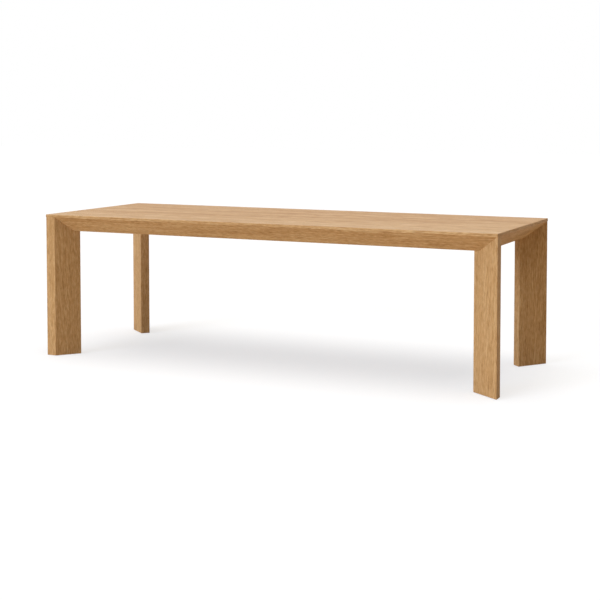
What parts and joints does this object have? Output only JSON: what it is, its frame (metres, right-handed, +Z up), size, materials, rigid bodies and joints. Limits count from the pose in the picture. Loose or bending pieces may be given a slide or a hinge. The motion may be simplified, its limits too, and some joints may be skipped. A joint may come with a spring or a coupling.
{
  "type": "parsons dining table",
  "caption": "Long rectangular oak dining table with an undercut edge and wide board legs set diagonally at its square corners, flush with the top, on screw levelling feet.",
  "frame": {"origin": "on the floor under the middle of the top, level with the undersides of the levelling feet", "axes": "+X along the table's length, +Y from the front to the back, +Z up"},
  "size_m": [2.46, 0.9, 0.75],
  "materials": {
    "oak_veneer": "sliced oak face veneer, matt lacquer",
    "oak": "solid oak, matt lacquer",
    "core_board": "board with an oak balancing veneer below",
    "rail_wood": "planed, sealed",
    "beech": "planed, bare",
    "zinc_steel": "zinc plated",
    "nylon": "moulded"
  },
  "bodies": {
    "table": {"top_veneer": "oak_veneer", "top_core": "core_board", "cross_rail_dowels": "beech", "lipping_front": "oak", "lipping_right": "oak", "lipping_back": "oak", "lipping_left": "oak", "apron_front": "oak", "apron_right": "oak", "apron_back": "oak", "apron_left": "oak", "leg_front_left": "oak", "leg_front_right": "oak", "leg_back_right": "oak", "leg_back_left": "oak", "inner_rail_front": "rail_wood", "inner_rail_right": "rail_wood", "inner_rail_back": "rail_wood", "inner_rail_left": "rail_wood", "cross_rail_left": "rail_wood", "cross_rail_middle": "rail_wood", "cross_rail_right": "rail_wood", "corner_block_front_left": "beech", "corner_block_front_right": "beech", "corner_block_back_right": "beech", "corner_block_back_left": "beech", "hanger_bolts": "zinc_steel", "bolt_washers": "zinc_steel", "bolt_nuts": "zinc_steel", "corner_block_screws": "zinc_steel", "top_screws": "zinc_steel", "leveller_inserts": "zinc_steel"},
    "leveller_front_left_outer": {"leveller_stem_front_left_outer": "zinc_steel", "leveller_pad_front_left_outer": "nylon"},
    "leveller_front_left_inner": {"leveller_stem_front_left_inner": "zinc_steel", "leveller_pad_front_left_inner": "nylon"},
    "leveller_front_right_outer": {"leveller_stem_front_right_outer": "zinc_steel", "leveller_pad_front_right_outer": "nylon"},
    "leveller_front_right_inner": {"leveller_stem_front_right_inner": "zinc_steel", "leveller_pad_front_right_inner": "nylon"},
    "leveller_back_right_outer": {"leveller_stem_back_right_outer": "zinc_steel", "leveller_pad_back_right_outer": "nylon"},
    "leveller_back_right_inner": {"leveller_stem_back_right_inner": "zinc_steel", "leveller_pad_back_right_inner": "nylon"},
    "leveller_back_left_outer": {"leveller_stem_back_left_outer": "zinc_steel", "leveller_pad_back_left_outer": "nylon"},
    "leveller_back_left_inner": {"leveller_stem_back_left_inner": "zinc_steel", "leveller_pad_back_left_inner": "nylon"}
  },
  "joints": [
    {"name": "leveller_front_left_outer_height", "type": "slide", "parent": "table", "child": "leveller_front_left_outer", "axis": [0, 0, -1], "range_m": [0, 0.01]},
    {"name": "leveller_front_left_inner_height", "type": "slide", "parent": "table", "child": "leveller_front_left_inner", "axis": [0, 0, -1], "range_m": [0, 0.01]},
    {"name": "leveller_front_right_outer_height", "type": "slide", "parent": "table", "child": "leveller_front_right_outer", "axis": [0, 0, -1], "range_m": [0, 0.01]},
    {"name": "leveller_front_right_inner_height", "type": "slide", "parent": "table", "child": "leveller_front_right_inner", "axis": [0, 0, -1], "range_m": [0, 0.01]},
    {"name": "leveller_back_right_outer_height", "type": "slide", "parent": "table", "child": "leveller_back_right_outer", "axis": [0, 0, -1], "range_m": [0, 0.01]},
    {"name": "leveller_back_right_inner_height", "type": "slide", "parent": "table", "child": "leveller_back_right_inner", "axis": [0, 0, -1], "range_m": [0, 0.01]},
    {"name": "leveller_back_left_outer_height", "type": "slide", "parent": "table", "child": "leveller_back_left_outer", "axis": [0, 0, -1], "range_m": [0, 0.01]},
    {"name": "leveller_back_left_inner_height", "type": "slide", "parent": "table", "child": "leveller_back_left_inner", "axis": [0, 0, -1], "range_m": [0, 0.01]}
  ]
}
